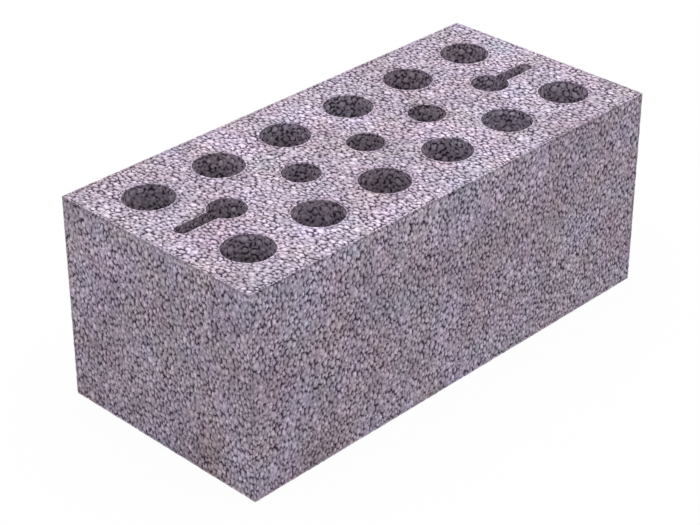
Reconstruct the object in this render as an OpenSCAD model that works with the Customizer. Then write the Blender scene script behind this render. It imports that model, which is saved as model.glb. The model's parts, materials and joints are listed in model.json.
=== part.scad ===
// Expanded clay concrete block for masonry walls, lying on its bed face.
// It is one moulded piece: a cuboid with upright voids that run right through it.
// Two outer rows of round voids flank a middle row of smaller ones, set halfway between them.
// The middle row closes at each end with a keyhole, whose slot carries the row on towards the end face.
// Millimetres, +Z up, +X along the length, origin at the centre of the underside.

/* [Block] */
// Length from end face to end face
block_length = 500; // [400:5:600]
// Width, which is the thickness of the wall
block_width = 230; // [190:5:300]
// Height from bed face to bed face
block_height = 200; // [100:5:250]

/* [Outer rows] */
// Number of round voids in each outer row
outer_count = 6; // [4:1:7]
// Diameter of an outer void
outer_diameter = 46.5; // [30:0.5:56]
// Distance from an end face to the centre of the nearest outer void
outer_end_margin = 50; // [40:1:60]
// Distance from a side face to the centre line of the nearest outer row
outer_side_margin = 54; // [40:1:60]

/* [Middle row] */
// Diameter of a middle void and of a keyhole's round head
middle_diameter = 35; // [20:0.5:50]
// Distance from an end face to the centre of a keyhole's head
keyhole_end_margin = 83; // [70:1:100]
// Width of a keyhole's slot
slot_width = 13.5; // [8:0.5:20]
// Distance from an end face to the rounded tip of a keyhole's slot
slot_end_margin = 26; // [15:1:40]

/* [Hidden] */
$fn = 96;

// How far each void's cutter runs past both bed faces
cut_past = 1;
cut_height = block_height + 2 * cut_past;

outer_pitch = (block_length - 2 * outer_end_margin) / (outer_count - 1);
outer_row_y = block_width / 2 - outer_side_margin;

// The middle row has one void in each gap between outer voids, and the two end gaps hold the keyholes
middle_count = outer_count - 3;
keyhole_x = block_length / 2 - keyhole_end_margin;
slot_round_x = block_length / 2 - slot_end_margin - slot_width / 2;

// Place of one of count voids that stand a pitch apart about the block's middle
function row_x(index, count) = (index - (count - 1) / 2) * outer_pitch;

module round_void(diameter) {
    translate([0, 0, -cut_past])
        cylinder(d = diameter, h = cut_height);
}

// Row of like round voids, centred on the block's length
module void_row(count, diameter) {
    for (index = [0 : count - 1])
        translate([row_x(index, count), 0, 0])
            round_void(diameter);
}

// Keyhole at the +X end: a round head with a slot that ends in a half circle
module keyhole_void() {
    translate([keyhole_x, 0, 0])
        round_void(middle_diameter);
    translate([keyhole_x, -slot_width / 2, -cut_past])
        cube([slot_round_x - keyhole_x, slot_width, cut_height]);
    translate([slot_round_x, 0, 0])
        round_void(slot_width);
}

module outer_voids() {
    for (side = [-1, 1])
        translate([0, side * outer_row_y, 0])
            void_row(outer_count, outer_diameter);
}

module middle_voids() {
    void_row(middle_count, middle_diameter);
    for (turn = [0, 180])
        rotate([0, 0, turn])
            keyhole_void();
}

module block() {
    color([0.54, 0.50, 0.55])
        difference() {
            translate([-block_length / 2, -block_width / 2, 0])
                cube([block_length, block_width, block_height]);
            outer_voids();
            middle_voids();
        }
}

block();
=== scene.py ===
"""Looks of an expanded clay block, built over its packed CAD frame.

The block's skin is a mosaic of bonded clay pellets. Every face and every void wall is covered with pellets
whose places come from a seeded random packing, coarse pellets first. Neighbours meet at joins, which are
open or filled with paste, and each three of them leave a deeper gap between them. The smallest pellets are
plain cones, and the others have a rounded crown. Pellets along an arris or a void's rim are shared by the
two surfaces that meet there, so the skin is closed.
"""

import json
import math
from types import SimpleNamespace

import bmesh
import bpy
import numpy as np
from bpy.props import FloatProperty, FloatVectorProperty, IntProperty, PointerProperty
from mathutils import Matrix, Vector
from mathutils.geometry import delaunay_2d_cdt


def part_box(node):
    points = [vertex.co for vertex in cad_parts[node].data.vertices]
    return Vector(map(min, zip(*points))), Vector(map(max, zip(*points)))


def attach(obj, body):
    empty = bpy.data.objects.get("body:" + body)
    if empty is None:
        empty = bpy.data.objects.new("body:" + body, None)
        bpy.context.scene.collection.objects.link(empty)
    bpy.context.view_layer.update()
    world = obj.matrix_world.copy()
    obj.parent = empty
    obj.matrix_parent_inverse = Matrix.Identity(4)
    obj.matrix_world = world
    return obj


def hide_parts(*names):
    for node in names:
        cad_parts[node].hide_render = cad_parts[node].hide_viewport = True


bl_info = {
    "name": "Expanded clay block",
    "version": (1, 0, 0),
    "blender": (4, 5, 0),
    "location": "3D View > Sidebar > Clay block",
    "description": "Lays an expanded clay block's pellet skin, finish and stage over its CAD frame",
    "category": "Object",
}

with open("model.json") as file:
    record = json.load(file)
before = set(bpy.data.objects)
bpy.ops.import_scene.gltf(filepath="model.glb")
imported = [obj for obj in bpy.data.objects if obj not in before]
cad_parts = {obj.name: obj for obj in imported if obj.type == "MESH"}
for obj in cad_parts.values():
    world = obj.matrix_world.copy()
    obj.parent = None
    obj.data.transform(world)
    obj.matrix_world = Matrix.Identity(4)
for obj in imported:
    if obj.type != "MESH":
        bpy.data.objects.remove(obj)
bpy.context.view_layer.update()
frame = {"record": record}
LOW, HIGH = (np.array(corner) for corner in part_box("block"))
OUTER_VOIDS = [mount for mount in frame["record"]["mounts"] if mount["kind"] == "bore"]

X, Y, Z = range(3)
WHITE = (1.0, 1.0, 1.0, 1.0)
# Width of the photograph in pixels, and of the camera's sensor in millimetres
PHOTO_WIDTH, SENSOR_WIDTH = 700, 36.0
# Longest step along a void's curved outline
ARC_STEP = 0.0005

# Packing of the pellets

# How much longer pellets are along each axis than their radii say, on the bed faces and on the others
BED_STRETCH, SIDE_STRETCH = (0.86, 1.24, 1.0), (0.90, 0.92, 1.3)
# Sizes of pellet that a packing steps down through, and the share of a surface that each may cover, apart
# from the last, which fills what is left
SIZE_STEPS, SIZE_SHARE = 8, 0.10
# How many of the smallest sizes are plain cones, on a face and on a void's wall
FACE_PLAIN, WALL_PLAIN = 1, 4
# Side of the cells in which a packing looks for room
PACKING_CELL = 0.00035
# How far pellets may press into each other, and how near to an edge one may sit, as shares of their radii
PRESS, EDGE_ROOM = 0.94, 0.6
# Width of the band that is repeated past the seam of a void's wall, and the border left round its map
SEAM_BAND, MAP_BORDER = 0.04, 0.012
# Distance within which two places count as one, and the decimals to which corners are matched
SAME_PLACE, PLACE_DECIMALS = 1e-7, 9

# Pellets along an edge

# How much the steps between them vary, as a share of their usual spacing
EDGE_JITTER = 0.45
# Share of their joins that are partly open, and how open
EDGE_OPEN_SHARE, EDGE_OPEN = 0.3, (0.3, 0.7)
# Least and most that they are worn, and how much one at a corner is, as shares of the usual wear
EDGE_WORN, CORNER_WORN = (0.2, 1.6), 2.0
# Depths of their joins when closed and open, as shares of the depth of a face's open join
EDGE_JOIN_DEPTHS = (0.05, 0.45)

# Joins, gaps and crowns

# How far a join strays along and across the line between two pellets, as a share of that line, and how
# unevenly a gap sits between three
JOIN_STRAY, GAP_STRAY = 0.09, 0.6
# Room between two pellets, as a share of their radii, from which they count as well apart
WELL_APART = 0.25
# How much more firmly two plain pellets are joined than others
PLAIN_HOLD = 0.35
# How open closed and open joins are, and how open a gap between closed joins may be
CLOSED, OPEN, CLOSED_GAP = (0.0, 0.22), (0.68, 1.0), 0.5
# Depths of joins and gaps when closed and open, as shares of their open depth, and how much of the room
# between two pellets is added to their join's depth
JOIN_DEPTHS, GAP_DEPTHS, APART_DEPTH = (0.2, 1.0), (0.25, 1.0), 0.3
# How far a crown strays from its pellet's middle, how much its outline varies, how far that draws back from
# an open join, and how steeply crowns lean
CROWN_SHIFT, CROWN_STRAY, CROWN_RETREAT, LEAN = 0.22, 0.2, 0.25, 0.16
# How far pellets lie back from a face: usually, the odd one besides, and the power that makes that one rare
USUAL_SINK, ODD_SINK, ODD_POWER = 0.00045, 0.0007, 8
# Points of the triangles, three by three, that a plain and a crowned pellet have in each three that meet
PLAIN_FACES = ("crown", "join", "gap", "crown", "gap", "join_before")
CROWNED_FACES = ("crown", "ring", "ring_before", "ring", "join", "gap",
                 "ring", "gap", "ring_before", "ring_before", "gap", "join_before")

# Marks of depth, by which the finish is darkened: a painted highlight on each crown, painted shade down its
# flanks, and dark paste with painted shade in the joins and gaps

# On the ring round a crown, where the painted shade of its flank begins, and at closed and open gaps
RING_MARK, GAP_MARKS = 0.14, (0.36, 1.0)
# At closed and open joins, on the bed faces and void walls and on the sides and ends
JOIN_MARKS, SIDE_JOIN_MARKS = (0.20, 1.0), (0.26, 0.86)
# Highest marks on the crowns of a face and on those of an edge, which dim the crowns' painted highlight
CROWN_MARK, EDGE_CROWN_MARK = 0.10, 0.24
# Mark at which a crown's painted highlight has become its flank's painted shade, and marks between which that
# becomes dark paste with painted shade
FLANK_MARK, PASTE_AND_SHADE_MARKS = 0.30, (0.28, 0.8)

# Noises of the finish

# Scales of those that mottle each pellet and that vary the skin in patches, pale areas and clusters
MOTTLE_SCALE, PATCH_SCALE, CLOUD_SCALE, CLUSTER_SCALE = 480.0, 26.0, 12.0, 70.0
# Detail of the mottle, of the noises over many pellets and of the grit
MOTTLE_DETAIL, PATCH_DETAIL, GRIT_DETAIL = 3.0, 1.0, 4.0
# Values between which a noise mostly lies
NOISE_SPAN = (0.25, 0.75)
# How much mottle and clusters vary the brightness, and how much mottle shifts the marks of depth
MOTTLE_RANGE, CLUSTER_RANGE, RAGGED = 0.14, 0.08, 0.15
# Scales of the grit and the pores, and where a pore's pit starts and ends, next to the pores' spacing
GRIT_SCALE, PORE_SCALE, PIT = 900.0, 1100.0, (0.05, 0.4)
# Values of the grit between which the roughness changes, and its ends
GRIT_SPAN, ROUGHNESS = (0.3, 0.7), (0.82, 0.98)
# Strength and height of the bump that grit and pores make, and how much the clay mirrors
BUMP_STRENGTH, BUMP_HEIGHT, SPECULAR = 0.5, 0.0004, 0.25


class ClayVoids(bpy.types.PropertyGroup):
    """Sizes of the middle row, which the record's mounts don't give"""

    middle_diameter: FloatProperty(
        name="Middle diameter", description="Across a middle void and across a keyhole's round head",
        default=0.035, unit="LENGTH")
    keyhole_end_margin: FloatProperty(
        name="Keyhole margin", description="From an end face to the centre of a keyhole's head",
        default=0.083, unit="LENGTH")
    slot_width: FloatProperty(
        name="Slot width", description="Width of a keyhole's slot", default=0.0135, unit="LENGTH")
    slot_end_margin: FloatProperty(
        name="Slot margin", description="From an end face to the rounded tip of a keyhole's slot",
        default=0.026, unit="LENGTH")


class ClayPellets(bpy.types.PropertyGroup):
    """Sizes and packing of the bonded pellets"""

    coarse_radius: FloatProperty(
        name="Coarse radius", description="Radius of the largest pellets on a face",
        default=0.0037, unit="LENGTH")
    fine_radius: FloatProperty(
        name="Fine radius",
        description="Radius of the smallest pellets on a face, which have no rounded crown",
        default=0.0014, unit="LENGTH")
    wall_fine_radius: FloatProperty(
        name="Wall fine radius",
        description="Radius of the smallest pellets on a void's wall, before its scale",
        default=0.0013, unit="LENGTH")
    outer_wall_scale: FloatProperty(
        name="Outer wall scale",
        description="Size of the pellets on an outer void's wall next to those of a face",
        default=1.0)
    middle_wall_scale: FloatProperty(
        name="Middle wall scale",
        description="Size of the pellets on a middle void's wall next to those of a face",
        default=0.9)
    bed_relief: FloatProperty(
        name="Bed relief", description="Depth of a bed face's joins and gaps next to those of a side",
        default=0.65, subtype="FACTOR", min=0.0, max=1.0)
    wall_relief: FloatProperty(
        name="Wall relief", description="Depth of a void wall's joins and gaps next to those of a side",
        default=0.6, subtype="FACTOR", min=0.0, max=1.0)
    edge_spacing: FloatProperty(
        name="Edge spacing", description="Distance between pellets along an arris or a rim",
        default=0.0045, unit="LENGTH")
    join_depth: FloatProperty(
        name="Join depth", description="How far the skin dips at an open join between two pellets",
        default=0.0009, unit="LENGTH")
    gap_depth: FloatProperty(
        name="Gap depth", description="How far the skin dips at an open gap between three pellets",
        default=0.0014, unit="LENGTH")
    open_share: FloatProperty(
        name="Open share", description="Share of a side's joins that are open, not filled with paste",
        default=0.32, subtype="FACTOR", min=0.0, max=1.0)
    bed_open_share: FloatProperty(
        name="Bed open share", description="Share of a bed face's joins that are open", default=0.47,
        subtype="FACTOR", min=0.0, max=1.0)
    wall_open_share: FloatProperty(
        name="Wall open share", description="Share of a void wall's joins that are open", default=0.31,
        subtype="FACTOR", min=0.0, max=1.0)
    edge_wear: FloatProperty(
        name="Edge wear", description="How far the pellets of an arris or a rim are worn back",
        default=0.00025, unit="LENGTH")
    crown_share: FloatProperty(
        name="Crown share", description="Share of a pellet's radius that its rounded crown takes",
        default=0.66)
    wall_crown_share: FloatProperty(
        name="Wall crown share",
        description="Share of a pellet's radius that its crown takes on a void's wall",
        default=0.78)
    crown_drop: FloatProperty(
        name="Crown drop", description="Share of a pellet's depth that its crown falls", default=0.2)
    seed: IntProperty(name="Seed", description="Start of every random draw", default=11)


class ClayFinish(bpy.types.PropertyGroup):
    """Colours of the fired clay"""

    # Pale crown colour: a painted highlight on each pellet's top
    crown: FloatVectorProperty(
        name="Crown", description="Colour of a pellet's painted_highlight crown", subtype="COLOR", size=4,
        default=(0.842, 0.752, 0.860, 1.0))
    # Flank colour: painted shade down each pellet's sides
    flank: FloatVectorProperty(
        name="Flank", description="Colour of a pellet's flanks", subtype="COLOR", size=4,
        default=(0.512, 0.425, 0.532, 1.0))
    # Joint colour: dark paste with painted shade in the joins and gaps
    joint: FloatVectorProperty(
        name="Joint", description="Colour of the paste at the bottom of a gap", subtype="COLOR", size=4,
        default=(0.056, 0.030, 0.062, 1.0))
    tone_range: FloatProperty(
        name="Tone range", description="How much pellets differ in brightness", default=0.42,
        subtype="FACTOR", min=0.0, max=1.0)
    patch_tint: FloatVectorProperty(
        name="Patch tint", description="How much patches of the skin differ in red, green and blue",
        default=(0.12, 0.05, 0.12))
    cloud_tint: FloatVectorProperty(
        name="Cloud tint",
        description="How much pale and dark areas of the skin differ in red, green and blue",
        default=(0.30, 0.35, 0.40))
    patch_start: FloatVectorProperty(
        name="Patch start", description="Where in their noise the patches of the skin begin",
        default=(2.4, 2.2, -2.9), unit="LENGTH")
    # Painted shade: every colour of a void's wall is darkened by this share
    wall_shade: FloatProperty(
        name="Wall shade", description="Brightness of a void's wall next to that of a face", default=0.68,
        subtype="FACTOR", min=0.0, max=1.0)


class ClayStage(bpy.types.PropertyGroup):
    """Camera and light"""

    azimuth: FloatProperty(
        name="Azimuth", description="Camera's turn about the upright axis", default=math.radians(-45.760),
        subtype="ANGLE")
    elevation: FloatProperty(
        name="Elevation", description="Camera's height above the horizon", default=math.radians(30.627),
        subtype="ANGLE")
    distance: FloatProperty(
        name="Distance", description="From the block's foot to the camera, along its view",
        default=1.90581, unit="LENGTH")
    right_shift: FloatProperty(
        name="Shift right", description="How far the camera stands to its own right",
        default=-0.014028, unit="LENGTH")
    up_shift: FloatProperty(
        name="Shift up", description="How far the camera stands up its own vertical",
        default=0.065731, unit="LENGTH")
    focal_pixels: FloatProperty(
        name="Focal length", description="Focal length in pixels of the photograph", default=2042.99)
    sky: FloatProperty(name="Sky", description="Brightness of the light from all round", default=0.675)
    lamp_power: FloatProperty(
        name="Lamp power", description="Power of the lamp overhead", default=13.0, unit="POWER")
    lamp_size: FloatProperty(
        name="Lamp size", description="Side of the lamp overhead", default=1.6, unit="LENGTH")
    lamp_height: FloatProperty(
        name="Lamp height", description="Height of the lamp above the floor", default=1.8, unit="LENGTH")
    floor_size: FloatProperty(name="Floor size", description="Side of the floor", default=12.0, unit="LENGTH")
    floor_bounce: FloatProperty(
        name="Floor bounce", description="Brightness of the floor as the block sees it", default=0.43)
    floor_glow: FloatProperty(
        name="Floor glow", description="Share of the floor's white that no shadow takes away", default=0.96)


# The voids in plan


class Outline:
    """Plan of a void, as a clockwise loop, so that its wall looks towards the loop's inside."""

    CORNER_EASE = 0.0015

    def __init__(self, points):
        self.loop = np.vstack([points, points[:1]])
        steps = np.linalg.norm(np.diff(self.loop, axis=0), axis=1)
        self.along = np.concatenate([[0.0], np.cumsum(steps)])
        self.length = self.along[-1]

    def at(self, along):
        """Points at these distances along the loop."""
        return np.column_stack([np.interp(along % self.length, self.along, axis) for axis in self.loop.T])

    def inside(self, along):
        """Unit directions from the wall towards the void, eased over the outline's corners."""
        step = self.at(along + self.CORNER_EASE) - self.at(along - self.CORNER_EASE)
        turned = np.column_stack([step[:, 1], -step[:, 0]])
        return turned / np.linalg.norm(turned, axis=1, keepdims=True)


def arc(centre, radius, start, end):
    """Points round a centre from one angle up to, but not at, another."""
    angles = np.linspace(start, end, math.ceil(abs(end - start) * radius / ARC_STEP), endpoint=False)
    return np.asarray(centre) + radius * np.column_stack([np.cos(angles), np.sin(angles)])


def round_void(row, centre, radius):
    """Round void in one of the rows, with its middle and radius as what it fills."""
    centre = np.asarray(centre, float)
    return SimpleNamespace(row=row, outline=Outline(arc(centre, radius, math.tau, 0.0)),
                           filling=[(centre, centre, radius)])


def keyhole_void(sizes, side):
    """Void with a round head and a slot that reaches towards the end face on one side."""
    radius, half_slot = sizes.middle_diameter / 2, sizes.slot_width / 2
    head = np.array([HIGH[X] - sizes.keyhole_end_margin, 0.0])
    tip = np.array([HIGH[X] - sizes.slot_end_margin - half_slot, 0.0])
    mouth = math.asin(half_slot / radius)
    points = np.vstack([
        [head[0] + radius * math.cos(mouth), half_slot],
        arc(tip, half_slot, math.pi / 2, -math.pi / 2),
        [tip[0], -half_slot],
        arc(head, radius, math.tau - mouth, mouth),
    ])
    return SimpleNamespace(row="middle_row", outline=Outline(side * points),
                           filling=[(side * head, side * head, radius), (side * head, side * tip, half_slot)])


def block_voids(sizes):
    """Every void of the block, in a fixed order: both outer rows, then the middle row with its keyholes."""
    found = [round_void("front_row" if mount["pos_m"][Y] < 0 else "back_row", mount["pos_m"][:2],
                        mount["dims"]["r_mm"] / 1000) for mount in OUTER_VOIDS]
    stations = sorted({mount["pos_m"][X] for mount in OUTER_VOIDS})
    halfway = [(before + after) / 2 for before, after in zip(stations, stations[1:])]
    found += [round_void("middle_row", (x, 0.0), sizes.middle_diameter / 2) for x in halfway[1:-1]]
    return found + [keyhole_void(sizes, side) for side in (-1, 1)]


def clearance(voids, points):
    """How far each point in plan is outside the nearest void."""
    nearest = np.full(len(points), np.inf)
    for start, end, radius in (part for void in voids for part in void.filling):
        axis = end - start
        along = (points - start) @ axis
        share = np.clip(along / (axis @ axis), 0.0, 1.0) if axis.any() else along
        gap = np.linalg.norm(points - start - share[:, None] * axis, axis=1) - radius
        nearest = np.minimum(nearest, gap)
    return nearest


# The two kinds of surface that carry pellets


class FlatFace:
    """One outer face of the block, square to an axis. Pellets are drawn out along its two own axes."""

    wraps = False

    def __init__(self, axis, side, voids=()):
        self.axis, self.side, self.voids = axis, side, voids
        own = [(axis + 1) % 3, (axis + 2) % 3]
        self.own = own if side > 0 else own[::-1]
        self.stretch = np.array(BED_STRETCH if axis == Z else SIDE_STRETCH)[self.own]
        self.size = (HIGH - LOW)[self.own] / self.stretch

    def place(self, flat):
        """Points in the block's frame, and the directions out of the skin there."""
        points, outward = np.zeros((2, len(flat), 3))
        points[:, self.axis] = (HIGH if self.side > 0 else LOW)[self.axis]
        points[:, self.own] = flat * self.stretch + LOW[self.own]
        outward[:, self.axis] = self.side
        return points, outward

    def flatten(self, points):
        """Places on the face of points in the block's frame."""
        return (points[:, self.own] - LOW[self.own]) / self.stretch

    def room(self, flat):
        """Distance of each place from the face's edges and from the voids that open on it."""
        room = np.minimum(flat, self.size - flat).min(1)
        return np.minimum(room, clearance(self.voids, self.place(flat)[0][:, :2])) if self.voids else room


class VoidWall:
    """Wall of one void, unrolled along its outline."""

    wraps = True

    def __init__(self, outline):
        self.outline = outline
        self.size = np.array([outline.length, HIGH[Z] - LOW[Z]])

    def place(self, flat):
        """Points in the block's frame, and the directions out of the skin there."""
        return (np.column_stack([self.outline.at(flat[:, 0]), LOW[Z] + flat[:, 1]]),
                np.column_stack([self.outline.inside(flat[:, 0]), np.zeros(len(flat))]))

    def room(self, flat):
        """Distance of each place from the wall's rims."""
        return np.minimum(flat[:, 1], self.size[1] - flat[:, 1])


# Pellets along the edges


def between(ends, share):
    """Values that run from the first of two ends, at a share of 0, to the second, at 1."""
    return ends[0] + (ends[1] - ends[0]) * share


class PelletEdge:
    """Row of pellets along an arris or a void's rim, shared by the two surfaces that meet there."""

    def __init__(self, place, length, closed, pellets, seed):
        rng = np.random.default_rng([pellets.seed, *seed])
        count = round(length / pellets.edge_spacing)
        gaps = rng.uniform(1 - EDGE_JITTER, 1 + EDGE_JITTER, count)
        gaps *= length / gaps.sum()
        self.along = np.concatenate([[0.0], np.cumsum(gaps[:-1]), [] if closed else [length]])
        before, after = (np.roll(gaps, 1), gaps) if closed else (np.r_[gaps[0], gaps], np.r_[gaps, gaps[-1]])
        self.closed, self.radii, self.tones = closed, (before + after) / 4, rng.random(len(self.along))
        self.sinks = pellets.edge_wear * rng.uniform(*EDGE_WORN, len(self.along))
        self.opens = np.where(rng.random(count) < EDGE_OPEN_SHARE,
                              rng.uniform(*EDGE_OPEN, count), rng.uniform(*CLOSED, count))
        # Marks that dim the painted highlight of the edge's crowns
        self.marks = EDGE_CROWN_MARK * rng.random(len(self.along))
        depths = pellets.edge_wear + pellets.join_depth * between(EDGE_JOIN_DEPTHS, self.opens)

        def inset(along, depth):
            """Points at these distances along the edge, moved inwards by these depths."""
            base, inward = place(along)
            return base + inward * depth[:, None]

        # A join lies nearer to the smaller of its two pellets
        start, end = self.along[:count], self.along[:count] + gaps
        following = (np.arange(count) + 1) % len(self.along)
        share = self.radii[:count] / (self.radii[:count] + self.radii[following])
        joins = start + gaps * share
        self.base = place(self.along)[0]
        self.crowns = inset(self.along, self.sinks)
        self.joins = inset(joins, depths)
        self.near, self.far = (
            inset(between((pellet, joins), pellets.crown_share), between((sink, depths), pellets.crown_drop))
            for pellet, sink in ((start, self.sinks[:count]), (end, self.sinks[following])))

    def links(self, first):
        """Pairs of neighbouring pellets, numbered from first."""
        count = len(self.along)
        pairs = np.column_stack([np.arange(count), np.arange(1, count + 1) % count])
        return first + (pairs if self.closed else pairs[:-1])


def arris(axis, sides, pellets):
    """Edge of the block along an axis, on the low (-1) or high (1) side of the two others."""
    sides = np.array(sides)
    low_end = np.where(sides > 0, HIGH, LOW)
    length = (HIGH - LOW)[axis]
    run = np.eye(3)[axis]
    inward = -sides / math.sqrt(2)

    def place(along):
        """Points at these distances along the edge, and the directions into the block there."""
        return low_end + along[:, None] * run, np.tile(inward, (len(along), 1))

    edge = PelletEdge(place, length, False, pellets, (1, *(sides + 1)))
    for end, way in ((0, -1), (-1, 1)):
        corner = -(sides + way * run) / math.sqrt(3)
        edge.crowns[end] = edge.base[end] + corner * pellets.edge_wear * CORNER_WORN
    return edge


def rim(void, number, side, pellets):
    """Edge of a void on the bottom (-1) or the top (1) of the block."""
    level = HIGH[Z] if side > 0 else LOW[Z]

    def place(along):
        """Points at these distances along the edge, and the directions into the block there."""
        column = np.ones(len(along))
        base = np.column_stack([void.outline.at(along), level * column])
        return base, -np.column_stack([void.outline.inside(along), side * column]) / math.sqrt(2)

    return PelletEdge(place, void.outline.length, True, pellets, (2, number, side + 1))


# Pellets over the surfaces


def scatter(surface, places, radii, sizes, rng):
    """Adds pellets at random between those of the edges, coarse ones first; returns all places and radii."""
    cells = np.ceil(surface.size / PACKING_CELL).astype(int)
    step = surface.size / cells
    across, up = ((np.arange(count) + 0.5) * size for count, size in zip(cells, step))
    middles = np.stack(np.meshgrid(across, up, indexing="ij"), -1)
    room = surface.room(middles.reshape(-1, 2)).reshape(cells)
    area = (room > 0).sum() * step.prod()
    copies = (-surface.size[0], 0.0, surface.size[0]) if surface.wraps else (0.0,)

    def block(free, place, reach):
        """Takes the cells within reach of a place out of those that are free."""
        for x in (place[0] + copy for copy in copies):
            columns, rows = (slice(max(int((at - reach) / size), 0), max(int((at + reach) / size) + 1, 0))
                             for at, size in zip((x, place[1]), step))
            free[columns, rows] &= (across[columns, None] - x) ** 2 + (up[rows] - place[1]) ** 2 >= reach**2

    known = list(zip(places.tolist(), radii.tolist()))
    for radius in sizes.tolist():
        free = room > EDGE_ROOM * radius
        quota = math.inf if radius == sizes[-1] else SIZE_SHARE * area / (math.pi * radius**2)
        for place, other in known:
            block(free, place, PRESS * (radius + other))
        spread = rng.uniform(-0.5, 0.5, (free.size, 2)) * step
        is_free, added = free.reshape(-1), 0
        for cell in rng.permutation(np.flatnonzero(is_free)).tolist():
            if added < quota and is_free[cell]:
                place = middles.reshape(-1, 2)[cell] + spread[cell]
                known.append((place.tolist(), radius))
                block(free, place, PRESS * 2 * radius)
                added += 1
    return np.array([place for place, _ in known]), np.array([radius for _, radius in known])


def triangulate(places, links=()):
    """Delaunay triangles between places, by number, that keep the given links as sides."""
    corners = [Vector(place) for place in places]
    points, _, faces, *_ = delaunay_2d_cdt(corners, list(links), [], 0, SAME_PLACE, False)
    if len(points) != len(places):
        raise RuntimeError("two pellets lie in one place")
    return np.array(faces)


def neighbours(surface, places, links, owners):
    """Each three pellets that meet: their numbers, and their places on the unrolled surface."""
    if not surface.wraps:
        threes = triangulate(places, links.tolist())
        # Three pellets of one rim that meet over its void have nothing between them
        over_void = (np.ptp(owners[threes], axis=1) == 0) & (surface.room(places[threes].mean(1)) < 0)
        return threes[~over_void], places[threes[~over_void]]
    width = surface.size[0]
    first = np.flatnonzero(places[:, 0] < SEAM_BAND)
    last = np.flatnonzero(places[:, 0] > width - SEAM_BAND)
    numbers = np.concatenate([np.arange(len(places)), first, last])
    spread = np.vstack([places, places[first] + [width, 0.0], places[last] - [width, 0.0]])
    threes = triangulate(spread)
    middle = spread[threes].mean(1)[:, 0]
    threes = threes[(middle >= 0) & (middle < width)]
    return numbers[threes], spread[threes]


def edge_pellets(edges, edge_places):
    """Pellets of a surface's edges, and the links between them. A corner of the block is one pellet."""
    links, first = [], 0
    for edge in edges:
        links.append(edge.links(first))
        first += len(edge.along)
    places, keep, number = np.unique(
        edge_places.round(PLACE_DECIMALS), axis=0, return_index=True, return_inverse=True)
    number = number.ravel()
    owners = np.repeat(np.arange(len(edges)), [len(edge.along) for edge in edges])
    joined = {name: np.concatenate([getattr(edge, name) for edge in edges])[keep]
              for name in ("radii", "tones", "marks", "sinks", "crowns")}
    return SimpleNamespace(places=places, owners=owners[keep],
                           links=[number[pairs] for pairs in links], **joined)


def lay_pellets(surface, row, pellets, grain, rng):
    """Every pellet of a surface, those of its edges first, with what is drawn at random for each."""
    sizes = grain.scale * np.geomspace(pellets.coarse_radius, grain.fine_radius, SIZE_STEPS)
    places, radii = scatter(surface, row.places, row.radii, sizes, rng)
    count, held = len(places), len(row.places)
    more = count - held
    tones = np.concatenate([row.tones, rng.random(more)])
    marks = np.concatenate([row.marks, CROWN_MARK * rng.random(more)])
    uneven = rng.random(more)
    sinks = grain.scale * (USUAL_SINK * uneven + ODD_SINK * uneven**ODD_POWER)
    inner = (np.arange(count) >= held)[:, None]
    leans = inner * grain.relief * rng.normal(0.0, LEAN, (count, 2))
    shifts = inner * rng.uniform(-CROWN_SHIFT, CROWN_SHIFT, (count, 2)) * radii[:, None]
    plain = radii <= sizes[-grain.plain_sizes]
    return SimpleNamespace(
        places=places, radii=radii, held=held, tones=tones, marks=marks, leans=leans, shifts=shifts,
        sinks=np.concatenate([row.sinks, sinks]), plain=plain, crowned=~plain | ~inner[:, 0],
        owners=np.concatenate([row.owners, row.owners.max() + 1 + np.arange(more)]))


def open_joins(laid, low, high, apart, open_share, rng):
    """How open the join of each pair is. Pellets that lie apart are more often open, evenly along edges."""
    looseness = (apart / (laid.radii[low] + laid.radii[high]) / WELL_APART).clip(0.0, 1.0)
    looseness[low < laid.held] = looseness[low >= laid.held].mean()
    looseness += rng.random(len(low)) - PLAIN_HOLD * (laid.plain[low] & laid.plain[high])
    return np.where(looseness > np.quantile(looseness, 1 - open_share),
                    rng.uniform(*OPEN, len(low)), rng.uniform(*CLOSED, len(low)))


def corner_faces(corner, crowned):
    """What the triangles at each corner of each three have at their points, plain pellets first."""
    return [np.stack([getattr(corner, name) for name in faces], 2)[chosen]
            for faces, chosen in ((PLAIN_FACES, ~crowned), (CROWNED_FACES, crowned))]


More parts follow.
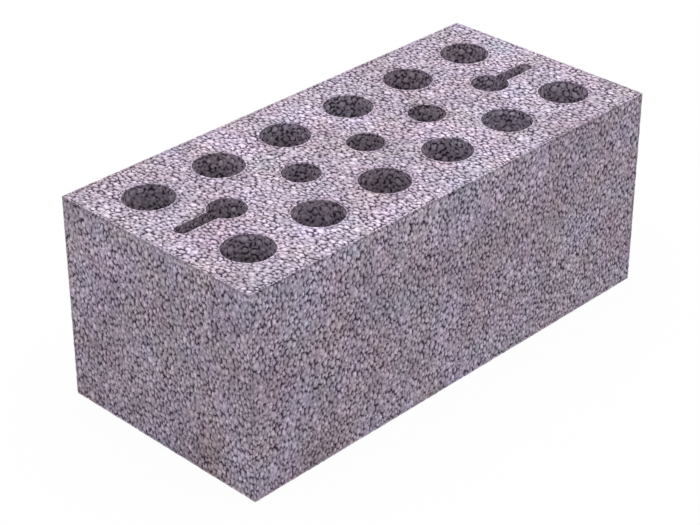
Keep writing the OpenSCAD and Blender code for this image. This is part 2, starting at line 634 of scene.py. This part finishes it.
def mosaic(surface, edges, edge_places, pellets, grain, seed):
    """Pellets over one surface: its points, faces and, for each, what the finish and the map need."""
    rng = np.random.default_rng([pellets.seed, *seed])
    row = edge_pellets(edges, edge_places)
    laid = lay_pellets(surface, row, pellets, grain, rng)
    threes, flat = neighbours(surface, laid.places, np.vstack(row.links), laid.owners)
    count, total = len(laid.places), len(threes)
    following, before = np.roll(threes, -1, 1), np.roll(threes, 1, 1)
    pairs = np.sort(np.stack([threes, following], -1), -1)
    keys, pair = np.unique(pairs[..., 0] * count + pairs[..., 1], return_inverse=True)
    pair = pair.reshape(total, 3)
    pair_before = np.roll(pair, 1, 1)
    low, high = keys // count, keys % count
    radii, sink = laid.radii, laid.sinks[threes]

    # How open each join and gap is, and how far joins stray. Those along edges follow their edge
    run = np.roll(flat, -1, 1) - flat
    apart = np.zeros(len(keys))
    apart[pair] = np.maximum(np.linalg.norm(run, axis=-1) - radii[threes] - radii[following], 0.0)
    join_open = open_joins(laid, low, high, apart, grain.open_share, rng)
    stray = rng.uniform(-JOIN_STRAY, JOIN_STRAY, (2, len(keys)))
    edge_pairs = []
    for edge, links in zip(edges, row.links):
        wanted = links.min(1) * count + links.max(1)
        found = np.searchsorted(keys, wanted)
        if not np.array_equal(keys[found], wanted):
            raise RuntimeError("a surface doesn't reach its edge")
        edge_pairs.append(found)
        stray[:, found], join_open[found] = 0.0, edge.opens
    gap_open = (join_open[pair].max(1) + join_open[pair].mean(1)) / 2
    gap_open = np.maximum(gap_open, CLOSED_GAP * rng.random(total))

    # Numbers of the points: crowns, joins, gaps, then the ring round each crown, with a point for each join
    join_at, gap_at, ring_at = count, count + len(keys), count + len(keys) + total
    at = SimpleNamespace(
        crown=threes, join=join_at + pair, join_before=join_at + pair_before,
        gap=gap_at + np.repeat(np.arange(total)[:, None], 3, 1),
        ring=ring_at + 2 * pair + (threes > following),
        ring_before=ring_at + 2 * pair_before + (threes > before))

    # Places on the unrolled surface, for each corner of each three
    forward = threes < following
    share = (radii[low] / (radii[low] + radii[high]) + stray[0])[pair]
    across = np.where(forward, 1, -1) * stray[1][pair]
    aside = np.stack([-run[..., 1], run[..., 0]], -1) * across[..., None]
    joins = flat + run * np.where(forward, share, 1 - share)[..., None] + aside
    joins_before = np.roll(joins, 1, 1)
    weights = rng.uniform(1 - GAP_STRAY, 1 + GAP_STRAY, (total, 3, 1))
    gaps = np.repeat((joins * weights).sum(1, keepdims=True) / weights.sum(1, keepdims=True), 3, 1)
    ring_share = grain.crown_share * rng.uniform(1 - CROWN_STRAY, 1 + CROWN_STRAY, len(keys) * 2)
    ring_share *= np.repeat(1 - grain.relief * CROWN_RETREAT * join_open, 2)
    tops = flat + laid.shifts[threes]
    rings, rings_before = (between((tops, end), ring_share[numbers - ring_at][..., None])
                           for end, numbers in ((joins, at.ring), (joins_before, at.ring_before)))
    spread = SimpleNamespace(crown=tops, join=joins, join_before=joins_before, gap=gaps,
                             ring=rings, ring_before=rings_before)

    # Depths below the surface
    join_depth = grain.scale * pellets.join_depth * between(JOIN_DEPTHS, join_open)
    join_depth = grain.relief * (join_depth + APART_DEPTH * apart)
    gap_depth = grain.scale * pellets.gap_depth * between(GAP_DEPTHS, gap_open)
    gap_depth += (np.linalg.norm(gaps - flat, axis=-1) - radii[threes]).min(1).clip(0.0)
    gap_depth *= grain.relief
    ring_depth, ring_depth_before = (
        between((sink, join_depth[joined]), pellets.crown_drop) + (laid.leans[threes] * (ring - tops)).sum(-1)
        for joined, ring in ((pair, rings), (pair_before, rings_before)))

    # Marks for the finish: a painted highlight on each crown, painted shade down its ring and flanks, and
    # dark paste with painted shade in the joins and gaps
    crown_mark = laid.marks[threes]
    join_mark, gap_mark = between(grain.join_marks, join_open), between(GAP_MARKS, gap_open)
    points = np.zeros((ring_at + 2 * len(keys), 3))
    painted_light_and_paste_marks = np.zeros(len(points))
    for numbers, where, depth, mark in (
            (at.crown, tops, sink, crown_mark),
            (at.ring, rings, ring_depth.clip(0.0), crown_mark + RING_MARK),
            (at.ring_before, rings_before, ring_depth_before.clip(0.0), crown_mark + RING_MARK),
            (at.join, joins, join_depth[pair], join_mark[pair]),
            (at.gap, gaps, np.repeat(gap_depth, 3), np.repeat(gap_mark, 3))):
        base, outward = surface.place(where.reshape(-1, 2))
        points[numbers.ravel()] = base - outward * depth.reshape(-1, 1)
        painted_light_and_paste_marks[numbers.ravel()] = mark.ravel()

    # The edges' own points are the same on both surfaces
    points[:laid.held] = row.crowns
    for edge, links, found in zip(edges, row.links, edge_pairs):
        turned = (links[:, 0] > links[:, 1]).astype(int)
        points[join_at + found] = edge.joins
        points[ring_at + 2 * found + turned] = edge.near
        points[ring_at + 2 * found + 1 - turned] = edge.far

    crowned = laid.crowned[threes]
    faces = corner_faces(at, crowned)
    used, numbers = np.unique(np.concatenate([part.ravel() for part in faces]), return_inverse=True)
    tone = laid.tones[threes]
    return SimpleNamespace(
        points=points[used], sink=painted_light_and_paste_marks[used], crease=(used >= join_at) & (used < ring_at),
        triangles=numbers.reshape(-1, 3),
        tone=np.concatenate([np.repeat(tone[chosen], part.shape[1] // 3)
                             for chosen, part in zip((~crowned, crowned), faces)]),
        flat=np.vstack([part.reshape(-1, 2) for part in corner_faces(spread, crowned)]),
        size=surface.size, border=MAP_BORDER if surface.wraps else 0.0)


def face_mosaic(axis, side, settings):
    """Pellets over one outer face. Voids open on the bed faces, which are square to Z."""
    pellets = settings.clay_pellets
    voids = block_voids(settings.clay_voids) if axis == Z else []
    surface = FlatFace(axis, side, voids)
    edges = []
    for run, other in (surface.own, surface.own[::-1]):
        for way in (-1, 1):
            sides = np.zeros(3, int)
            sides[axis], sides[other] = side, way
            edges.append(arris(run, sides, pellets))
    edges += [rim(void, number, side, pellets) for number, void in enumerate(voids)]
    edge_places = surface.flatten(np.vstack([edge.base for edge in edges]))
    grain = SimpleNamespace(scale=1.0, fine_radius=pellets.fine_radius, plain_sizes=FACE_PLAIN,
                            crown_share=pellets.crown_share,
                            join_marks=JOIN_MARKS if axis == Z else SIDE_JOIN_MARKS,
                            relief=pellets.bed_relief if axis == Z else 1.0,
                            open_share=pellets.bed_open_share if axis == Z else pellets.open_share)
    return mosaic(surface, edges, edge_places, pellets, grain, (3, axis, side + 1))


def wall_mosaic(void, number, pellets):
    """Pellets over the wall of one void."""
    surface = VoidWall(void.outline)
    edges = [rim(void, number, side, pellets) for side in (-1, 1)]
    edge_places = np.vstack([np.column_stack([edge.along % surface.size[0], np.full(len(edge.along), level)])
                             for edge, level in zip(edges, (0.0, surface.size[1]))])
    middle = void.row == "middle_row"
    grain = SimpleNamespace(scale=pellets.middle_wall_scale if middle else pellets.outer_wall_scale,
                            fine_radius=pellets.wall_fine_radius, plain_sizes=WALL_PLAIN,
                            crown_share=pellets.wall_crown_share, join_marks=JOIN_MARKS,
                            relief=pellets.wall_relief, open_share=pellets.wall_open_share)
    return mosaic(surface, edges, edge_places, pellets, grain, (4, number))


# Pieces


def map_places(parts, columns):
    """Map of a piece's faces: each part in its own cell of a grid, as wide as it unrolls."""
    rows = math.ceil(len(parts) / columns)
    cells = []
    for number, part in enumerate(parts):
        border = np.array([part.border, 0.0])
        inside = (part.flat + border) / (part.size + 2 * border)
        cells.append((inside + [number % columns, number // columns]) / [columns, rows])
    return np.vstack(cells)


def build_piece(name, parts, material, columns=1):
    """Joins parts of the skin into one piece that stands for the block."""
    points, crease, tone, sink = (np.concatenate([getattr(part, kind) for part in parts])
                                  for kind in ("points", "crease", "tone", "sink"))
    starts = np.cumsum([0] + [len(part.points) for part in parts])
    faces = np.vstack([part.triangles + start for part, start in zip(parts, starts)])
    mesh = bpy.data.meshes.new(name)
    mesh.from_pydata(points, [], faces.tolist())
    mesh.shade_smooth()
    # Each pellet's crown is smooth, and it meets its neighbours in a crease
    ends = np.empty(2 * len(mesh.edges), np.int32)
    mesh.edges.foreach_get("vertices", ends)
    sharp = mesh.attributes.new("sharp_edge", "BOOLEAN", "EDGE")
    sharp.data.foreach_set("value", crease[ends].reshape(-1, 2).all(1))
    # The sink marks carry each pellet's painted highlight and shade, and the dark paste with painted shade in
    # its gaps
    for attribute, domain, values in (("tone", "FACE", tone), ("sink", "POINT", sink)):
        mesh.attributes.new(attribute, "FLOAT", domain).data.foreach_set("value", values.astype(np.float32))
    layer = mesh.uv_layers.new(name="OFBake")
    layer.uv.foreach_set("vector", map_places(parts, columns).astype(np.float32).ravel())
    mesh.materials.append(material)
    mesh.update()
    piece = bpy.data.objects.new(name, mesh)
    bpy.context.scene.collection.objects.link(piece)
    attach(piece, "root")
    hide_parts("block")


# Finish


def add_node(tree, kind, inputs=None, **settings):
    """Adds a node, and sets or links its inputs by name."""
    made = tree.nodes.new(kind)
    for name, value in settings.items():
        setattr(made, name, value)
    for name, value in (inputs or {}).items():
        if isinstance(value, bpy.types.NodeSocket):
            tree.links.new(value, made.inputs[name])
        else:
            made.inputs[name].default_value = value
    return made


def mix_colour(tree, factor, first, second, blend="MIX"):
    """Colour output of a Mix node."""
    made = tree.nodes.new("ShaderNodeMix")
    made.data_type, made.blend_type = "RGBA", blend
    sockets = [socket for socket in made.inputs if socket.enabled]
    for socket, value in zip(sockets, (factor, first, second)):
        if isinstance(value, bpy.types.NodeSocket):
            tree.links.new(value, socket)
        else:
            socket.default_value = value
    return next(socket for socket in made.outputs if socket.enabled)


def map_range(tree, value, span, target=(0.0, 1.0), smooth=False):
    """Output of a Map Range node, which takes one span of values to another."""
    made = add_node(tree, "ShaderNodeMapRange", {
        "Value": value, "From Min": span[0], "From Max": span[1], "To Min": target[0], "To Max": target[1]},
        interpolation_type="SMOOTHSTEP" if smooth else "LINEAR")
    return made.outputs["Result"]


def new_group(name, inputs, outputs):
    """Shader node group with these sockets, given as name to kind; returns its tree, input and output."""
    tree = bpy.data.node_groups.new(name, "ShaderNodeTree")
    for way, sockets in (("INPUT", inputs), ("OUTPUT", outputs)):
        for socket, kind in sockets.items():
            tree.interface.new_socket(socket, in_out=way, socket_type="NodeSocket" + kind)
    return tree, tree.nodes.new("NodeGroupInput"), tree.nodes.new("NodeGroupOutput")


def pellet_colour_group():
    """Colour of the skin: one tone for each pellet, soft patches over many, a painted highlight on each crown
    and painted shade down its flanks, and dark paste with painted shade in the gaps.
    """
    tree, given, result = new_group(
        "pellet_colour",
        {"Place": "Vector", "Tone": "Float", "Tone Range": "Float", "Sink": "Float",
         "Crown": "Color", "Flank": "Color", "Joint": "Color",
         "Patch Tint": "Vector", "Cloud Tint": "Vector", "Patch Start": "Vector"},
        {"Color": "Color"})
    use = given.outputs
    mottle = add_node(tree, "ShaderNodeTexNoise", {
        "Vector": use["Place"], "Scale": MOTTLE_SCALE, "Detail": MOTTLE_DETAIL})
    moved = add_node(tree, "ShaderNodeVectorMath", {0: use["Place"], 1: use["Patch Start"]}, operation="ADD")
    patches, clouds, clusters = (
        add_node(tree, "ShaderNodeTexNoise", {
            "Vector": moved.outputs["Vector"], "Scale": scale, "Detail": PATCH_DETAIL})
        for scale in (PATCH_SCALE, CLOUD_SCALE, CLUSTER_SCALE))
    # A crown's painted highlight becomes its flank's painted shade with depth, along a ragged line
    ragged = add_node(tree, "ShaderNodeMath", {
        0: use["Sink"], 1: map_range(tree, mottle.outputs["Fac"], NOISE_SPAN, (RAGGED, -RAGGED))},
        operation="ADD").outputs["Value"]
    tone = mix_colour(tree, map_range(tree, ragged, (0.0, FLANK_MARK)), use["Crown"], use["Flank"])
    # Patches and pale areas shift it by up to their tints, either way
    for noise, tint in ((patches.outputs["Color"], "Patch Tint"), (clouds.outputs["Fac"], "Cloud Tint")):
        centred = add_node(tree, "ShaderNodeVectorMath", {0: noise, 1: (0.5, 0.5, 0.5)}, operation="SUBTRACT")
        doubled = add_node(tree, "ShaderNodeVectorMath", {0: use[tint], "Scale": 2.0}, operation="SCALE")
        shift = add_node(tree, "ShaderNodeVectorMath", {
            0: centred.outputs["Vector"], 1: doubled.outputs["Vector"], 2: (1.0, 1.0, 1.0)},
            operation="MULTIPLY_ADD")
        tone = mix_colour(tree, 1.0, tone, shift.outputs["Vector"], "MULTIPLY")
    # Each pellet has a brightness of its own, which mottle and clusters vary
    shade = add_node(tree, "ShaderNodeMath", {
        0: map_range(tree, use["Tone"], (0.0, 1.0), (-0.5, 0.5)), 1: use["Tone Range"], 2: 1.0},
        operation="MULTIPLY_ADD").outputs["Value"]
    for noise, reach in ((mottle, MOTTLE_RANGE), (clusters, CLUSTER_RANGE)):
        shade = add_node(tree, "ShaderNodeMath", {
            0: map_range(tree, noise.outputs["Fac"], NOISE_SPAN, (1 - reach, 1 + reach)), 1: shade},
            operation="MULTIPLY").outputs["Value"]
    grey = add_node(tree, "ShaderNodeCombineColor", {"Red": shade, "Green": shade, "Blue": shade})
    tone = mix_colour(tree, 1.0, tone, grey.outputs["Color"], "MULTIPLY")
    # Deep marks become dark paste with painted shade
    paste = map_range(tree, ragged, PASTE_AND_SHADE_MARKS, smooth=True)
    tree.links.new(mix_colour(tree, paste, tone, use["Joint"]), result.inputs["Color"])
    return tree


def pellet_pores_group():
    """Fine pores and grit of a pellet's fired surface."""
    tree, given, result = new_group(
        "pellet_pores", {"Place": "Vector"}, {"Height": "Float", "Roughness": "Float"})
    place = given.outputs["Place"]
    grit = add_node(tree, "ShaderNodeTexNoise", {"Vector": place, "Scale": GRIT_SCALE, "Detail": GRIT_DETAIL})
    pores = add_node(tree, "ShaderNodeTexVoronoi", {"Vector": place, "Scale": PORE_SCALE})
    height = add_node(tree, "ShaderNodeMath", {
        0: grit.outputs["Fac"], 1: map_range(tree, pores.outputs["Distance"], PIT)}, operation="MULTIPLY")
    tree.links.new(height.outputs["Value"], result.inputs["Height"])
    tree.links.new(map_range(tree, grit.outputs["Fac"], GRIT_SPAN, ROUGHNESS), result.inputs["Roughness"])
    return tree


def clay_material(name, finish, shade):
    """Fired clay at a given brightness next to that of the block's faces; below 1 that is painted shade."""
    material = bpy.data.materials.get(name)
    if material:
        return material
    material = bpy.data.materials.new(name)
    material.use_nodes = True
    tree = material.node_tree
    shader = tree.nodes["Principled BSDF"]
    place = add_node(tree, "ShaderNodeTexCoord").outputs["Object"]
    groups = bpy.data.node_groups
    colour = add_node(tree, "ShaderNodeGroup", node_tree=groups.get("pellet_colour") or pellet_colour_group())
    pores = add_node(tree, "ShaderNodeGroup", node_tree=groups.get("pellet_pores") or pellet_pores_group())
    for group in (colour, pores):
        tree.links.new(place, group.inputs["Place"])
    for socket, attribute in (("Tone", "tone"), ("Sink", "sink")):
        read = add_node(tree, "ShaderNodeAttribute", attribute_name=attribute)
        tree.links.new(read.outputs["Fac"], colour.inputs[socket])
    for socket in ("Tone Range", "Cloud Tint", "Patch Start"):
        colour.inputs[socket].default_value = getattr(finish, socket.lower().replace(" ", "_"))
    # Patches stand out less in the voids' painted shade
    colour.inputs["Patch Tint"].default_value = [shade * part for part in finish.patch_tint]
    # Every colour is darkened by the painted shade
    for socket in ("Crown", "Flank", "Joint"):
        tint = getattr(finish, socket.lower())
        colour.inputs[socket].default_value = (*(shade * part for part in tint[:3]), 1.0)
    bump = add_node(tree, "ShaderNodeBump", {
        "Strength": BUMP_STRENGTH, "Distance": BUMP_HEIGHT, "Height": pores.outputs["Height"]})
    tree.links.new(colour.outputs["Color"], shader.inputs["Base Color"])
    tree.links.new(pores.outputs["Roughness"], shader.inputs["Roughness"])
    tree.links.new(bump.outputs["Normal"], shader.inputs["Normal"])
    shader.inputs["Specular IOR Level"].default_value = SPECULAR
    return material


def face_material(settings):
    """Clay of the outer faces."""
    return clay_material("clay_face", settings.clay_finish, 1.0)


def wall_material(settings):
    """Clay of the void walls, darkened by painted shade."""
    return clay_material("clay_void_wall", settings.clay_finish, settings.clay_finish.wall_shade)


# Stage


def seen_directly(tree):
    """1 where the camera, a mirror or glass shows the stage, and 0 where it only gives light."""
    path = add_node(tree, "ShaderNodeLightPath").outputs
    either = add_node(tree, "ShaderNodeMath", {0: path["Is Camera Ray"], 1: path["Is Glossy Ray"]},
                      operation="MAXIMUM").outputs["Value"]
    return add_node(tree, "ShaderNodeMath", {0: either, 1: path["Is Transmission Ray"]},
                    operation="MAXIMUM").outputs["Value"]


def lay_floor(stage):
    """White floor under the block, which is darker where it only throws light back."""
    mesh = bpy.data.meshes.new("floor")
    shape = bmesh.new()
    bmesh.ops.create_grid(shape, x_segments=1, y_segments=1, size=stage.floor_size / 2)
    shape.to_mesh(mesh)
    shape.free()
    material = bpy.data.materials.new("floor")
    material.use_nodes = True
    tree = material.node_tree
    tree.nodes.clear()
    seen = seen_directly(tree)
    grey = (*[stage.floor_bounce] * 3, 1.0)
    plain = add_node(tree, "ShaderNodeBsdfDiffuse", {"Color": mix_colour(tree, seen, grey, WHITE)})
    white = add_node(tree, "ShaderNodeEmission", {"Strength": 1.0})
    share = add_node(tree, "ShaderNodeMath", {0: seen, 1: stage.floor_glow}, operation="MULTIPLY")
    mixed = add_node(tree, "ShaderNodeMixShader", {
        "Fac": share.outputs["Value"], 1: plain.outputs["BSDF"], 2: white.outputs["Emission"]})
    add_node(tree, "ShaderNodeOutputMaterial", {"Surface": mixed.outputs["Shader"]})
    mesh.materials.append(material)
    floor = bpy.data.objects.new("floor", mesh)
    bpy.context.scene.collection.objects.link(floor)


def set_light(scene, stage):
    """Soft light from all round, and a lamp overhead."""
    world = bpy.data.worlds.new("soft_sky")
    world.use_nodes = True
    tree = world.node_tree
    tree.nodes.clear()
    sky, white = (add_node(tree, "ShaderNodeBackground", {"Strength": strength}).outputs["Background"]
                  for strength in (stage.sky, 1.0))
    for node in tree.nodes:
        node.inputs["Color"].default_value = WHITE
    mixed = add_node(tree, "ShaderNodeMixShader", {"Fac": seen_directly(tree), 1: sky, 2: white})
    add_node(tree, "ShaderNodeOutputWorld", {"Surface": mixed.outputs["Shader"]})
    scene.world = world
    lamp = bpy.data.lights.new("overhead_lamp", "AREA")
    lamp.energy, lamp.size = stage.lamp_power, stage.lamp_size
    holder = bpy.data.objects.new("overhead_lamp", lamp)
    holder.location = (0.0, 0.0, stage.lamp_height)
    scene.collection.objects.link(holder)


def set_camera(scene, stage):
    """Camera as fitted to the photograph. It isn't rolled, so its right-hand side is level."""
    turn, rise = stage.azimuth, stage.elevation
    back = Vector((math.sin(turn) * math.cos(rise), -math.cos(turn) * math.cos(rise), math.sin(rise)))
    right = Vector((0.0, 0.0, 1.0)).cross(back).normalized()
    up = back.cross(right)
    camera = bpy.data.cameras.new("camera")
    camera.sensor_width = SENSOR_WIDTH
    camera.lens = stage.focal_pixels * SENSOR_WIDTH / PHOTO_WIDTH
    camera.clip_end = stage.floor_size
    holder = bpy.data.objects.new("camera", camera)
    place = right * stage.right_shift + up * stage.up_shift + back * stage.distance
    holder.matrix_world = Matrix.Translation(place) @ Matrix((right, up, back)).transposed().to_4x4()
    scene.collection.objects.link(holder)
    scene.camera = holder


# Operators


class ClayFaces:
    """Shared by the operators that lay a pair of opposite faces."""

    bl_options = {"REGISTER", "UNDO"}

    def execute(self, context):
        settings = context.scene
        for name, side in self.pieces:
            build_piece(name, [face_mosaic(self.axis, side, settings)], face_material(settings))
        return {"FINISHED"}


class CLAY_OT_bed_faces(ClayFaces, bpy.types.Operator):
    """Lay the pellets of the two bed faces, in which the voids open"""

    bl_idname = "clay.bed_faces"
    bl_label = "Bed faces"
    axis, pieces = Z, (("bed_top", 1), ("bed_bottom", -1))


class CLAY_OT_side_faces(ClayFaces, bpy.types.Operator):
    """Lay the pellets of the two long side faces"""

    bl_idname = "clay.side_faces"
    bl_label = "Side faces"
    axis, pieces = Y, (("side_front", -1), ("side_back", 1))


class CLAY_OT_end_faces(ClayFaces, bpy.types.Operator):
    """Lay the pellets of the two end faces"""

    bl_idname = "clay.end_faces"
    bl_label = "End faces"
    axis, pieces = X, (("end_left", -1), ("end_right", 1))


class CLAY_OT_void_walls(bpy.types.Operator):
    """Lay the pellets of the void walls, one piece for each row of voids"""

    bl_idname = "clay.void_walls"
    bl_label = "Void walls"
    bl_options = {"REGISTER", "UNDO"}

    def execute(self, context):
        settings = context.scene
        numbered = list(enumerate(block_voids(settings.clay_voids)))
        for row in ("front_row", "back_row", "middle_row"):
            parts = [wall_mosaic(void, number, settings.clay_pellets)
                     for number, void in numbered if void.row == row]
            build_piece(row + "_walls", parts, wall_material(settings), columns=3)
        return {"FINISHED"}


class CLAY_OT_stage(bpy.types.Operator):
    """Set up the floor, the light and the camera"""

    bl_idname = "clay.stage"
    bl_label = "Stage"
    bl_options = {"REGISTER", "UNDO"}

    def execute(self, context):
        stage = context.scene.clay_stage
        lay_floor(stage)
        set_light(context.scene, stage)
        set_camera(context.scene, stage)
        context.scene.view_settings.view_transform = "Standard"
        return {"FINISHED"}


OPERATORS = (CLAY_OT_bed_faces, CLAY_OT_side_faces, CLAY_OT_end_faces, CLAY_OT_void_walls, CLAY_OT_stage)
SETTINGS = {"clay_voids": ClayVoids, "clay_pellets": ClayPellets,
            "clay_finish": ClayFinish, "clay_stage": ClayStage}


class CLAY_PT_block(bpy.types.Panel):
    """Buttons that build the block's looks, and the sizes and colours that they use"""

    bl_idname = "CLAY_PT_block"
    bl_label = "Expanded clay block"
    bl_space_type = "VIEW_3D"
    bl_region_type = "UI"
    bl_category = "Clay block"

    def draw(self, context):
        for operator in OPERATORS:
            self.layout.operator(operator.bl_idname)
        for name, group in SETTINGS.items():
            box = self.layout.box()
            box.label(text=group.__doc__)
            for setting in group.__annotations__:
                box.prop(getattr(context.scene, name), setting)


CLASSES = (*SETTINGS.values(), *OPERATORS, CLAY_PT_block)


def register():
    for made in CLASSES:
        bpy.utils.register_class(made)
    for name, group in SETTINGS.items():
        setattr(bpy.types.Scene, name, PointerProperty(type=group))


def unregister():
    for name in SETTINGS:
        delattr(bpy.types.Scene, name)
    for made in reversed(CLASSES):
        bpy.utils.unregister_class(made)


def main():
    """Registers the classes, and builds the block and its stage."""
    register()
    bpy.ops.clay.stage()
    bpy.ops.clay.bed_faces()
    bpy.ops.clay.side_faces()
    bpy.ops.clay.end_faces()
    bpy.ops.clay.void_walls()


if __name__ == "__main__":
    main()
